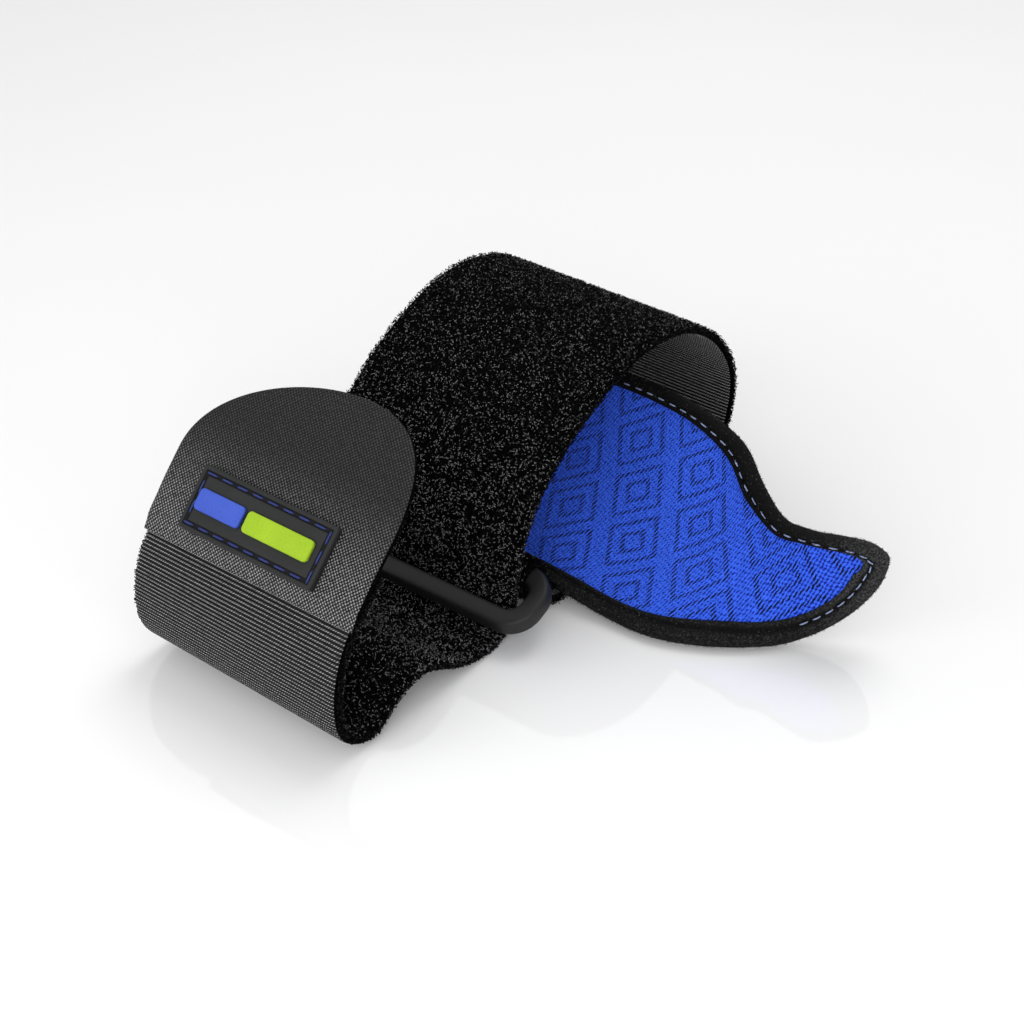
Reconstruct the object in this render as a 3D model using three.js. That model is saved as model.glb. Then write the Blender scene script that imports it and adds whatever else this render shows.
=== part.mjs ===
// Wrist brace: a pile strap that loops through a ring, with a hook tab and a bound pad. Millimetres, +Z up.
// Layout frame: x across the strap with 0 at its middle, y away from the viewer, z = 0 on the floor.
import * as THREE from 'three';

// Driving sizes
const STRAP = { width: 70, thick: 2.6 };
const GAP = 0.3;
const TAB = { thick: 1.6, width: 70.8, start: 350.5, length: 51.8, round: 29.7, skew: 10.7 };
const LABEL = { thick: 1.4, width: 44.8, height: 16.6, corner: 0.8, from: 4.3, x: -1, rise: 0.8 };
const RING = { wire: 5.5, clear: 2.4, corner: 6, front: [-70.2, 7.9], rear: [-56.8, 13.5] };
const PAD = { shell: 1.2, lining: 0.6, left: -38, leftCorner: 9 };
const TIP = { x: 111.5, share: 0.83, nearFrom: 90, farFrom: 99, power: 1.74 };
const TAPE = { thick: 0.7, leg: 4.2 };
const STEP_DEG = 8;

// Strap path in the y-z plane, from the floor under the pad to the end under the tab: one row per bend.
// Lean is the drop for each mm towards +x, at the bend's end.
const STRAP_START = { y: -44, z: STRAP.thick / 2, heading: 0 };
const STRAP_ROWS = [
  { bend: 'floor', length: 59, turn: 0, lean: 0 },
  { bend: 'heel', length: 17.2, turn: 50.2, lean: 0 },
  { bend: 'back', length: 21.8, turn: 34.1, lean: 0.028 },
  { bend: 'shoulder', length: 14.1, turn: 37.5, lean: 0.028 },
  { bend: 'top', length: 34.7, turn: 45.3, lean: 0.028 },
  { bend: 'brow', length: 24, turn: 28.2, lean: 0.028 },
  { bend: 'front', length: 38.1, turn: 26.1, lean: 0.011 },
  { bend: 'shin', length: 36.3, turn: 46.6, lean: 0 },
  { bend: 'foot', length: 15.9, turn: -89.6, lean: 0 },
  { bend: 'rise', length: 20, turn: -32, lean: 0 },
  { bend: 'crest', length: 14.7, turn: 52.9, lean: 0 },
  { bend: 'dip', length: 8.8, turn: 18.2, lean: 0.012 },
  { bend: 'toe', length: 5.4, turn: -40.7, lean: 0.03 },
  { bend: 'fold', length: 16.3, turn: -78.8, lean: 0.03 },
  { bend: 'instep', length: 26.2, turn: -50.8, lean: 0.005 },
  { bend: 'tab', length: 56, turn: -6.4, lean: 0.04 },
];
const STRAP_END = 365;

// Strap end, walked the other way: up to the ring's rear bar, around it and back on itself
const KEEPER_ROWS = [
  { bend: 'lift', length: 5, turn: -34, lean: 0 },
  { bend: 'reach', length: 12.7, turn: 0, lean: 0 },
  { bend: 'wrap', length: 17.85, turn: -235, lean: 0 },
  { bend: 'return', length: 7.5, turn: 55, lean: 0 },
  { bend: 'tail', length: 2, turn: 0, lean: 0 },
];

// Pad surface: near and far edge of the section at each x, and how far the section curls from one to the other
const PAD_ROWS = [
  { x: -45, nearY: -44.5, nearZ: 5.4, farY: 4, farZ: 43, curl: 36 },
  { x: 0, nearY: -44.5, nearZ: 5.4, farY: 4, farZ: 43.5, curl: 36 },
  { x: 25, nearY: -44.6, nearZ: 5.3, farY: 3.5, farZ: 44, curl: 36 },
  { x: 40, nearY: -44.7, nearZ: 4, farY: 1.8, farZ: 44, curl: 36 },
  { x: 52, nearY: -44.5, nearZ: 2.4, farY: -0.8, farZ: 43.3, curl: 35 },
  { x: 64, nearY: -44, nearZ: 2.3, farY: -4.3, farZ: 40.6, curl: 34 },
  { x: 74, nearY: -40.3, nearZ: 2.1, farY: -11.2, farZ: 36.2, curl: 30 },
  { x: 84, nearY: -34, nearZ: 2, farY: -15.2, farZ: 30.8, curl: 24 },
  { x: 92, nearY: -26.3, nearZ: 1.9, farY: -16.6, farZ: 31.2, curl: 16 },
  { x: 100, nearY: -18, nearZ: 1.7, farY: -16.5, farZ: 32.4, curl: 10 },
  { x: 108, nearY: -10, nearZ: 1.7, farY: -11.6, farZ: 32.3, curl: 6 },
  { x: 116, nearY: -6, nearZ: 1.7, farY: -6.2, farZ: 31.2, curl: 4 },
];

const rad = THREE.MathUtils.degToRad;
const group = new THREE.Group();

// Closed solid from a row of point loops. Loop point i faces point n - 1 - i, which is how an end is closed.
function loopSolid(name, loops, { ring = false } = {}) {
  const count = loops[0].length;
  const points = loops.flat();
  const faces = [];
  const at = (row, i) => ((row % loops.length) * count) + (i % count);
  const quad = (a, b, c, d) => faces.push([a, b, c], [a, c, d]);
  for (let row = 0; row < loops.length - (ring ? 0 : 1); row += 1) {
    for (let i = 0; i < count; i += 1) {
      quad(at(row, i), at(row, i + 1), at(row + 1, i + 1), at(row + 1, i));
    }
  }
  if (!ring) {
    const last = loops.length - 1;
    for (let i = 0; i < count / 2 - 1; i += 1) {
      quad(at(0, count - 1 - i), at(0, count - 2 - i), at(0, i + 1), at(0, i));
      quad(at(last, i), at(last, i + 1), at(last, count - 2 - i), at(last, count - 1 - i));
    }
  }
  let volume = 0;
  for (const [a, b, c] of faces) {
    volume += points[a].dot(new THREE.Vector3().crossVectors(points[b], points[c]));
  }
  const geometry = new THREE.BufferGeometry();
  geometry.setAttribute('position', new THREE.Float32BufferAttribute(points.flatMap((p) => p.toArray()), 3));
  geometry.setIndex(faces.flatMap(([a, b, c]) => (volume < 0 ? [a, c, b] : [a, b, c])));
  geometry.computeVertexNormals();
  const mesh = new THREE.Mesh(geometry);
  mesh.name = name;
  group.add(mesh);
}

// Stations along a path of bends: place, heading in radians, distance from the start and lean
function walk(start, rows) {
  let { y, z } = start;
  let heading = rad(start.heading);
  let distance = 0;
  let lean = 0;
  const stations = [{ y, z, heading, distance, lean }];
  for (const row of rows) {
    const steps = Math.max(1, Math.ceil(Math.abs(row.turn) / STEP_DEG));
    const bend = rad(row.turn) / steps;
    const run = row.length / steps;
    const more = (row.lean - lean) / steps;
    const chord = bend === 0 ? run : run * Math.sin(bend / 2) / (bend / 2);
    for (let i = 0; i < steps; i += 1) {
      y += chord * Math.cos(heading + bend / 2);
      z += chord * Math.sin(heading + bend / 2);
      heading += bend;
      distance += run;
      lean += more;
      stations.push({ y, z, heading, distance, lean });
    }
  }
  return stations;
}

// Station at any distance, between two of the path's own stations
function stationAt(stations, distance) {
  const next = Math.max(1, stations.findIndex((s) => s.distance >= distance));
  const [a, b] = [stations[next - 1], stations[next]];
  const t = (distance - a.distance) / (b.distance - a.distance);
  const mix = (key) => THREE.MathUtils.lerp(a[key], b[key], t);
  return { y: mix('y'), z: mix('z'), heading: mix('heading'), distance, lean: mix('lean') };
}

// Point beside a station: x across the strap, off to the left of its heading
function beside(station, x, off) {
  const y = station.y - off * Math.sin(station.heading);
  const z = station.z + off * Math.cos(station.heading) - station.lean * x;
  return new THREE.Vector3(x, y, z);
}

// Flat-sided loop across the strap at a station, from one offset to another
function band(station, left, right, low, high) {
  return [
    beside(station, left, low), beside(station, right, low),
    beside(station, right, high), beside(station, left, high),
  ];
}

// Strap: the keeper end reversed, then the path up to its end under the tab
const path = walk(STRAP_START, STRAP_ROWS);
const keeper = walk({ ...STRAP_START, heading: 180 }, KEEPER_ROWS).slice(1).reverse()
  .map((s) => ({ ...s, heading: s.heading + Math.PI }));
const strapStations = [...keeper, ...path.filter((s) => s.distance < STRAP_END), stationAt(path, STRAP_END)];
const half = { x: STRAP.width / 2, t: STRAP.thick / 2 };
loopSolid('strap', strapStations.map((s) => band(s, -half.x, half.x, -half.t, half.t)));

// Plate lapped on the ribbed face, between two offsets from the path: its middle and half width from rules
function plate(name, from, to, cuts, low, high, middle, halfWidth) {
  const loops = cuts.map((t) => {
    const station = stationAt(path, THREE.MathUtils.lerp(from, to, t));
    const s = t * (to - from);
    const w = halfWidth(s);
    return band(station, middle(s) - w, middle(s) + w, low, high);
  });
  loopSolid(name, loops);
}

// Cuts from 0 to 1 that crowd where a rounded end turns
const roundEnd = (n) => Array.from({ length: n }, (_, i) => Math.sin(Math.PI / 2 * (i + 1) / (n + 0.6)));

// Hook tab: straight sides and a rounded end
const tabLow = half.t + GAP;
const tabHigh = tabLow + TAB.thick;
const tabStraight = 1 - TAB.round / TAB.length;
const tabCuts = [0, 0.2, 0.4, 0.6, 0.8, 1].map((t) => t * tabStraight)
  .concat(roundEnd(12).map((t) => tabStraight + t * (1 - tabStraight)));
const tabOver = (s) => Math.max(0, (s - TAB.length + TAB.round) / TAB.round);
const tabHalf = (s) => TAB.width / 2 * Math.sqrt(1 - tabOver(s) ** 2);
const tabMiddle = (s) => TAB.skew * tabOver(s) ** 2;
plate('hook_tab', TAB.start, TAB.start + TAB.length, tabCuts, tabLow, tabHigh, tabMiddle, tabHalf);

// Label: a rounded patch on the tab, and two plain bars on it
const labelLow = tabHigh + GAP;
const labelHigh = labelLow + LABEL.thick;
const labelFrom = TAB.start + LABEL.from;
const rounded = (length, halfWidth, corner) => (s) => {
  const edge = Math.max(0, corner - Math.min(s, length - s));
  return halfWidth - corner + Math.sqrt(Math.max(0, corner ** 2 - edge ** 2));
};
const cornerCuts = (length, corner) => {
  const ends = [0, 0.15, 0.5, 1].map((t) => t * corner / length);
  return [...ends, 0.35, 0.5, 0.65, ...ends.map((t) => 1 - t).reverse()];
};
plate('label', labelFrom, labelFrom + LABEL.height, cornerCuts(LABEL.height, LABEL.corner),
  labelLow, labelHigh, () => LABEL.x, rounded(LABEL.height, LABEL.width / 2, LABEL.corner));
const BARS = [
  { name: 'label_bar_blue', from: 5.5, height: 5.6, x: -12, width: 15.2 },
  { name: 'label_bar_lime', from: 5.5, height: 5.6, x: 7.6, width: 21.6 },
];
for (const bar of BARS) {
  const from = labelFrom + bar.from;
  plate(bar.name, from, from + bar.height, cornerCuts(bar.height, 1.2), labelHigh + 0.1,
    labelHigh + 0.1 + LABEL.rise, () => LABEL.x + bar.x, rounded(bar.height, bar.width / 2, 1.2));
}

// Ring: a round wire on a rounded rectangle that leans back from its front bar to its rear bar
const ringDepth = Math.hypot(RING.rear[0] - RING.front[0], RING.rear[1] - RING.front[1]);
const ringTilt = Math.atan2(RING.rear[1] - RING.front[1], RING.rear[0] - RING.front[0]);
const ringHalf = half.x + RING.clear + RING.wire / 2;
const ringPath = [
  { x: ringHalf, d: 0, from: -90 }, { x: ringHalf, d: ringDepth, from: 0 },
  { x: -ringHalf, d: ringDepth, from: 90 }, { x: -ringHalf, d: 0, from: 180 },
].flatMap(({ x, d, from }) => [0, 22.5, 45, 67.5, 90].map((turn) => {
  const angle = rad(from + turn);
  const cx = x - Math.sign(x) * RING.corner;
  const cd = d + (d > 0 ? -1 : 1) * RING.corner;
  return { x: cx + RING.corner * Math.cos(angle), d: cd + RING.corner * Math.sin(angle), angle };
}));
const ringPlace = (x, d, up) => new THREE.Vector3(
  x,
  RING.front[0] + d * Math.cos(ringTilt) - up * Math.sin(ringTilt),
  RING.front[1] + d * Math.sin(ringTilt) + up * Math.cos(ringTilt),
);
loopSolid('ring', ringPath.map(({ x, d, angle }) => Array.from({ length: 12 }, (_, i) => {
  const around = rad(i * 30);
  const out = RING.wire / 2 * Math.cos(around);
  return ringPlace(x + out * Math.cos(angle), d + out * Math.sin(angle), RING.wire / 2 * Math.sin(around));
})), { ring: true });

// Pad surface values at any x, on a smooth curve through the rows
function padRow(x) {
  const last = PAD_ROWS.length - 1;
  const i = Math.min(last - 1, Math.max(0, PAD_ROWS.findIndex((row) => row.x > x) - 1));
  const row = (k) => PAD_ROWS[Math.min(last, Math.max(0, k))];
  const [a, b] = [row(i), row(i + 1)];
  const span = b.x - a.x;
  const t = (x - a.x) / span;
  const slope = (k, key) => (row(k + 1)[key] - row(k - 1)[key]) / (row(k + 1).x - row(k - 1).x);
  const mix = (key) => {
    const [ma, mb] = [slope(i, key) * span, slope(i + 1, key) * span];
    return a[key] * (1 + 2 * t) * (1 - t) ** 2 + ma * t * (1 - t) ** 2
      + b[key] * t ** 2 * (3 - 2 * t) + mb * t ** 2 * (t - 1);
  };
  const [nearY, nearZ, farY, farZ] = ['nearY', 'nearZ', 'farY', 'farZ'].map(mix);
  const curl = rad(mix('curl'));
  const chord = Math.hypot(farY - nearY, farZ - nearZ);
  const length = chord * (curl / 2) / Math.sin(curl / 2);
  const lean = Math.atan2(farZ - nearZ, farY - nearY) - curl / 2;
  return { nearY, nearZ, curl, length, lean };
}

// Point of the pad's middle surface: x, and q as a share of the section from its near edge to its far edge
function padPoint(x, q) {
  const { nearY, nearZ, curl, length, lean } = padRow(x);
  const turn = curl * q;
  const chord = length * q * (turn === 0 ? 1 : Math.sin(turn / 2) / (turn / 2));
  const heading = lean + turn / 2;
  return new THREE.Vector3(x, nearY + chord * Math.cos(heading), nearZ + chord * Math.sin(heading));
}

// Slopes and unit normal of the pad's surface, the normal on the lined side
function padFrame(x, q) {
  const e = 0.05;
  const dx = padPoint(x + e, q).sub(padPoint(x - e, q)).divideScalar(2 * e);
  const dq = padPoint(x, q + e / 10).sub(padPoint(x, q - e / 10)).divideScalar(e / 5);
  const normal = new THREE.Vector3().crossVectors(dx, dq).normalize();
  return { dx, dq, normal };
}

// Shares of the section where the pad starts and ends: round corners at the left, a round tip at the right
function padEnds(x) {
  const { length } = padRow(x);
  const corner = Math.max(0, PAD.left + PAD.leftCorner - x);
  const cut = (PAD.leftCorner - Math.sqrt(Math.max(0, PAD.leftCorner ** 2 - corner ** 2))) / length;
  const left = (from) => {
    const over = THREE.MathUtils.clamp((x - from) / (TIP.x - from), 0, 1);
    return (1 - over ** TIP.power) ** (1 / TIP.power);
  };
  return {
    near: cut + TIP.share * (1 - left(TIP.nearFrom)),
    far: 1 - cut - (1 - TIP.share) * (1 - left(TIP.farFrom)),
  };
}

// Pad stations: crowded in the corners and the tip, even between
const padX = [
  ...[0, 0.06, 0.25, 0.55, 1].map((t) => PAD.left + t * PAD.leftCorner),
  ...[-20, -8, 4, 16, 28, 36, 44, 52, 58, 64, 70, 75, 80, 85, TIP.nearFrom],
  ...roundEnd(14).map((t) => TIP.nearFrom + t * (TIP.x - TIP.nearFrom)),
];
const PAD_ACROSS = 9;
const padHalf = (PAD.shell + GAP + PAD.lining) / 2;

// One layer of the pad between two offsets from the middle surface
function padLayer(name, low, high) {
  const loops = padX.map((x) => {
    const { near, far } = padEnds(x);
    const row = (off) => Array.from({ length: PAD_ACROSS }, (_, i) => {
      const q = THREE.MathUtils.lerp(near, far, i / (PAD_ACROSS - 1));
      return padPoint(x, q).addScaledVector(padFrame(x, q).normal, off);
    });
    return [...row(low), ...row(high).reverse()];
  });
  loopSolid(name, loops);
}
padLayer('pad_shell', -padHalf, -padHalf + PAD.shell);
padLayer('pad_lining', padHalf - PAD.lining, padHalf);

// Binding: a folded tape around the pad's edge, each leg following the pad's surface
const leftEnds = padEnds(PAD.left);
const edge = [
  ...padX.map((x) => ({ x, q: padEnds(x).near })),
  ...padX.map((x) => ({ x, q: padEnds(x).far })).reverse(),
  ...Array.from({ length: PAD_ACROSS - 2 }, (_, i) => (
    { x: PAD.left, q: THREE.MathUtils.lerp(leftEnds.far, leftEnds.near, (i + 1) / (PAD_ACROSS - 1)) }
  )),
];
const inside = padHalf + GAP;
const outside = inside + TAPE.thick;
const TAPE_SECTION = [
  { inset: TAPE.leg, off: outside }, { inset: TAPE.leg / 2, off: outside }, { inset: 0, off: outside },
  { inset: -GAP - TAPE.thick, off: inside * 0.55 }, { inset: -GAP - TAPE.thick, off: -inside * 0.55 },
  { inset: 0, off: -outside }, { inset: TAPE.leg / 2, off: -outside }, { inset: TAPE.leg, off: -outside },
  { inset: TAPE.leg, off: -inside }, { inset: TAPE.leg / 2, off: -inside }, { inset: -GAP, off: -inside },
  { inset: -GAP, off: inside }, { inset: TAPE.leg / 2, off: inside }, { inset: TAPE.leg, off: inside },
];
const tapeLoops = edge.map((here, i) => {
  const before = edge[(i + edge.length - 1) % edge.length];
  const after = edge[(i + 1) % edge.length];
  const along = padPoint(after.x, after.q).sub(padPoint(before.x, before.q)).normalize();
  const { dx, dq, normal } = padFrame(here.x, here.q);
  const inward = new THREE.Vector3().crossVectors(normal, along).normalize();
  const gram = { xx: dx.dot(dx), xq: dx.dot(dq), qq: dq.dot(dq), x: dx.dot(inward), q: dq.dot(inward) };
  const det = gram.xx * gram.qq - gram.xq ** 2;
  const stepX = (gram.x * gram.qq - gram.q * gram.xq) / det;
  const stepQ = (gram.q * gram.xx - gram.x * gram.xq) / det;
  return TAPE_SECTION.map(({ inset, off }) => {
    const [x, q] = [here.x + inset * stepX, here.q + inset * stepQ];
    return padPoint(x, q).addScaledVector(padFrame(x, q).normal, off);
  });
});
loopSolid('binding', tapeLoops, { ring: true });

// Origin under the middle of the whole part
const box = new THREE.Box3().setFromObject(group);
const centre = box.getCenter(new THREE.Vector3());
for (const mesh of group.children) {
  mesh.geometry.translate(-centre.x, -centre.y, -box.min.z);
}

export default group;
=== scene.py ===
"""Wrist brace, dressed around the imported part.

Shapes are laid out in mm, in the layout of the part's source.
"""
import math
from types import SimpleNamespace as Sizes

import bpy
import numpy as np
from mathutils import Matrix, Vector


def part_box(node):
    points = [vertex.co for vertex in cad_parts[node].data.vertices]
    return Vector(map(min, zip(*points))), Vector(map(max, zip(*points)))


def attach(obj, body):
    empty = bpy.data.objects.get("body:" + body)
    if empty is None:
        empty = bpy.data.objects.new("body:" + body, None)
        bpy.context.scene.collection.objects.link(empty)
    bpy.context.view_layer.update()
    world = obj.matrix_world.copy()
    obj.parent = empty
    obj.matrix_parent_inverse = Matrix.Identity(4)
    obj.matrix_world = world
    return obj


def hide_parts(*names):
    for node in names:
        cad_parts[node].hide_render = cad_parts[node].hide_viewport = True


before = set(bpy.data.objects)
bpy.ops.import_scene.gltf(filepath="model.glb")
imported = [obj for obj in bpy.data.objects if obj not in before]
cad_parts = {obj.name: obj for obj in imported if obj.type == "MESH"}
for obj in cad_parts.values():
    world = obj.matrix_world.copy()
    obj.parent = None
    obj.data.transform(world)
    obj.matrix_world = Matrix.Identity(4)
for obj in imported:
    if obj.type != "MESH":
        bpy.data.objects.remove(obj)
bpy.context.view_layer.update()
SEED = 11

# Sizes that repeat the part's source, in mm
STRAP = Sizes(width=70.0, thick=2.6, end=365.0)
TAB = Sizes(start=350.5, length=51.8, round=29.7, width=70.8, skew=10.7, low=1.6)
LABEL = Sizes(start=4.3, height=16.6, width=44.8, x=-1.0, corner=0.8)
RING = Sizes(wire=5.5, clear=2.4, corner=6.0, power=4.5, front=(-70.2, 7.9), rear=(-56.8, 13.5))
PAD = Sizes(left=-38.0, corner=9.0, half=1.05)
TIP = Sizes(x=111.5, share=0.83, near=90.0, far=99.0, power=1.74)
BARS = [  # piece, node, slot, start on the label, height, x on the label, width
    ("bar_blue_raised", "label_bar_blue", "bar_blue", 5.5, 5.6, -12.0, 15.2),
    ("bar_lime_raised", "label_bar_lime", "bar_lime", 5.5, 5.6, 7.6, 21.6),
]
STEP_DEG = 8
STRAP_START = (-44.0, 1.3)
STRAP_ROWS = [  # bend, length, turn in degrees, drop for each mm towards +x at the bend's end
    ("floor", 59, 0, 0), ("heel", 17.2, 50.2, 0), ("back", 21.8, 34.1, 0.028),
    ("shoulder", 14.1, 37.5, 0.028), ("top", 34.7, 45.3, 0.028), ("brow", 24, 28.2, 0.028),
    ("front", 38.1, 26.1, 0.011), ("shin", 36.3, 46.6, 0), ("foot", 15.9, -89.6, 0),
    ("rise", 20, -32, 0), ("crest", 14.7, 52.9, 0), ("dip", 8.8, 18.2, 0.012),
    ("toe", 5.4, -40.7, 0.03), ("fold", 16.3, -78.8, 0.03), ("instep", 26.2, -50.8, 0.005),
    ("tab", 56, -6.4, 0.04),
]
KEEPER_ROWS = [  # the same columns, for the end that is folded around the ring
    ("lift", 5, -34, 0), ("reach", 12.7, 0, 0), ("wrap", 17.85, -235, 0), ("return", 7.5, 55, 0),
    ("tail", 2, 0, 0),
]
PAD_ROWS = np.array([  # x, near y, near z, far y, far z, curl in degrees
    (-45, -44.5, 5.4, 4, 43, 36), (0, -44.5, 5.4, 4, 43.5, 36), (25, -44.6, 5.3, 3.5, 44, 36),
    (40, -44.7, 4, 1.8, 44, 36), (52, -44.5, 2.4, -0.8, 43.3, 35), (64, -44, 2.3, -4.3, 40.6, 34),
    (74, -40.3, 2.1, -11.2, 36.2, 30), (84, -34, 2, -15.2, 30.8, 24), (92, -26.3, 1.9, -16.6, 31.2, 16),
    (100, -18, 1.7, -16.5, 32.4, 10), (108, -10, 1.7, -11.6, 32.3, 6), (116, -6, 1.7, -6.2, 31.2, 4),
])

# Sizes of what is added here, in mm
RIB = Sizes(pitch=1.02, depth=0.34, steps=6, power=0.7, notch=0.006)
BAND = Sizes(insets=(0, 0.25, 0.7, 1.5, 11, 23), round=1.5, notched=1.0, bare=0.5, rough=0.08)
FIBRE = Sizes(lengths=(0.55, 1.4), widths=(0.7, 1.2), lean=0.8, swing=0.9, droop=0.25, points=5)
PILE = Sizes(ground=1.2, length=0.9, width=0.3, tilt=(8, 66), per_mm2=2.5, root=0.05, pieces=4)
ON_FLOOR = Sizes(start=3, stop=55, pile=0.25)
FRINGE = Sizes(per_mm=12.0, off=(-1.1, 0.7), length=0.52, width=2.0, tone=0.5, up=0.4, root=0.1,
               near=1, lean=0.9)
# Painted light on the pile: a tone factor for each way along the strap, up to 1.7 on the loop's lower front
PILE_PAINTED_LIGHT = np.array([(150, 0.88), (200, 1.08), (235, 1.7), (290, 1.35), (310, 1.0)])  # way along, tone
NEAR_RING = Sizes(gap=0.2, fade=1.2, least=0.2)
PAD_PILE = Sizes(tries=16000, left=1, tip=2, margin=3.6, full=62)
FUZZ = Sizes(count=12000, length=0.6, width=0.16, tilt=(20, 80), root=0.08, tone=0.75)
STITCH = Sizes(pitch=4.2, length=2.5, radius=0.2, inset=2.6, off=1.98, lift=0.2, near_from=95)
LABEL_SEAM = Sizes(pitch=5.2, length=3.7, radius=0.3, inset=1.75, off=4.55, lift=0.12, facing=8, first=0.3)
THREAD = Sizes(sink=0.12, flat=0.8)
HOOK = Sizes(pitch=1.5, height=0.8, radius=0.13, start=16.8, half=33.5, margin=1.5, sides=6)
TAB_REST = Sizes(sewn=1.32, lift=0.28, start=8, over=6, thin=0.2, full=5)
FILLS = Sizes(tab=14, label=5, bar=3)
FADE = Sizes(left=12, tip=14)
# groove is how much painted shade darkens the tape along its stitch line
TAPE = Sizes(step=0.7, even_leg=4, even_inner=9, groove=0.75, groove_width=0.4)
FLOOR_GAP = Sizes(band=0.02, fibre=0.03, tape=0.05)
MAP_SHIFT = 40
CAMERA = Sizes(place=(280.848, -376.471, 296.195), elevation=32.9411, azimuth=38.3825, focal_px=1867.518)
IMAGE_PX = 1024
SENSOR_MM = 36.0
FLOOR_HALF_M = 3.0
SKY = 0.75


# Paths and surfaces
def arcs(start, heading, rows):
    """Distance, y, z, heading and curvature at the start of each bend."""
    y, z = start
    facing = math.radians(heading)
    distance = 0.0
    table = []
    for _, length, turn, _ in rows:
        bend = math.radians(turn)
        table.append((distance, y, z, facing, bend / length))
        chord = length * np.sinc(bend / 2 / math.pi)
        y += chord * math.cos(facing + bend / 2)
        z += chord * math.sin(facing + bend / 2)
        facing += bend
        distance += length
    return np.array(table)


def follow(table, distance):
    """y, z and heading at distances along a table of bends."""
    row = np.clip(np.searchsorted(table[:, 0], distance, side="right") - 1, 0, len(table) - 1)
    start, y, z, facing, curve = np.moveaxis(table[row], -1, 0)
    run = distance - start
    turn = curve * run
    chord = run * np.sinc(turn / 2 / math.pi)
    return y + chord * np.cos(facing + turn / 2), z + chord * np.sin(facing + turn / 2), facing + turn


STRAP_BENDS = arcs(STRAP_START, 0, STRAP_ROWS)
KEEPER_BENDS = arcs(STRAP_START, 180, KEEPER_ROWS)
KEEPER_LENGTH = sum(row[1] for row in KEEPER_ROWS)
LEAN_AT = np.cumsum([0] + [row[1] for row in STRAP_ROWS])
LEAN = [0] + [row[3] for row in STRAP_ROWS]


def strap_at(s):
    """y, z and heading of the strap's middle line. The folded end around the ring has s below 0."""
    s = np.asarray(s, float)
    ahead = follow(STRAP_BENDS, np.maximum(s, 0))
    behind = follow(KEEPER_BENDS, np.maximum(-s, 0))
    turned = (behind[0], behind[1], behind[2] + math.pi)
    return [np.where(s < 0, b, a) for a, b in zip(ahead, turned)]


def strap_point(x, s, off):
    """Point at x across, off from the middle line: below 0 towards the pile face, above 0 the ribbed one."""
    y, z, heading = strap_at(s)
    z = z - np.interp(s, LEAN_AT, LEAN) * x
    return np.stack(np.broadcast_arrays(x, y - off * np.sin(heading), z + off * np.cos(heading)), -1)


def pad_row(x):
    """Near edge, curl, length and lean of the pad's section at x, on a smooth curve through the rows."""
    x = np.asarray(x, float)
    at = PAD_ROWS[:, 0]
    last = len(at) - 1
    after = np.minimum(np.arange(last + 1) + 1, last)
    before = np.maximum(np.arange(last + 1) - 1, 0)
    slopes = (PAD_ROWS[after] - PAD_ROWS[before]) / (at[after] - at[before])[:, None]
    i = np.clip(np.searchsorted(at, x, side="right") - 1, 0, last - 1)
    span = (at[i + 1] - at[i])[..., None]
    t = (x - at[i])[..., None] / span
    value = (PAD_ROWS[i] * (1 + 2 * t) * (1 - t) ** 2 + slopes[i] * span * t * (1 - t) ** 2
             + PAD_ROWS[i + 1] * t ** 2 * (3 - 2 * t) + slopes[i + 1] * span * t ** 2 * (t - 1))
    _, near_y, near_z, far_y, far_z, curl = np.moveaxis(value, -1, 0)
    curl = np.radians(curl)
    chord = np.hypot(far_y - near_y, far_z - near_z)
    length = chord / np.sinc(curl / 2 / math.pi)
    lean = np.arctan2(far_z - near_z, far_y - near_y) - curl / 2
    return near_y, near_z, curl, length, lean


def pad_point(x, q):
    """Point of the pad's middle surface: q is the share of the section from its near edge to its far edge."""
    near_y, near_z, curl, length, lean = pad_row(x)
    turn = curl * q
    chord = length * q * np.sinc(turn / 2 / math.pi)
    heading = lean + turn / 2
    y = near_y + chord * np.cos(heading)
    z = near_z + chord * np.sin(heading)
    return np.stack(np.broadcast_arrays(x, y, z), -1)


def pad_frame(x, q, e=0.05):
    """Slopes along x and q, and the unit normal on the lined side."""
    dx = (pad_point(x + e, q) - pad_point(x - e, q)) / (2 * e)
    dq = (pad_point(x, q + e / 10) - pad_point(x, q - e / 10)) / (e / 5)
    normal = np.cross(dx, dq)
    return dx, dq, normal / np.linalg.norm(normal, axis=-1, keepdims=True)


def pad_off(x, q, off):
    """Point off from the pad's middle surface, above 0 on the lined side."""
    return pad_point(x, q) + pad_frame(x, q)[2] * np.asarray(off)[..., None]


def pad_ends(x):
    """Shares of the section where the pad starts and ends."""
    x = np.asarray(x, float)
    corner = np.maximum(0, PAD.left + PAD.corner - x)
    cut = (PAD.corner - np.sqrt(np.maximum(0, PAD.corner ** 2 - corner ** 2))) / pad_row(x)[3]

    def left(start):
        over = np.clip((x - start) / (TIP.x - start), 0, 1)
        return (1 - over ** TIP.power) ** (1 / TIP.power)

    near = cut + TIP.share * (1 - left(TIP.near))
    far = 1 - cut - (1 - TIP.share) * (1 - left(TIP.far))
    return near, far


def part_stops():
    """Distances of the part's own stations on the strap, one for each STEP_DEG of turn at most."""
    marks = [0.0]
    for _, length, turn, _ in STRAP_ROWS:
        steps = max(1, math.ceil(abs(turn) / STEP_DEG))
        start = marks[-1]
        marks += [start + length * (i + 1) / steps for i in range(steps)]
    return np.array(marks)


# Layout to frame: the strap's box fixes it
strap_low, strap_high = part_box("strap")
faces_off = np.array([-1, 1]) * STRAP.thick / 2
back_most = strap_point(0, part_stops()[:, None], faces_off)[..., 1].max()
SHIFT = np.array([(strap_low.x + strap_high.x) * 500, strap_high.y * 1000 - back_most, 0.0])


def place(points):
    """Layout in mm to frame in metres."""
    return (np.asarray(points, float) + SHIFT) / 1000


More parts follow.
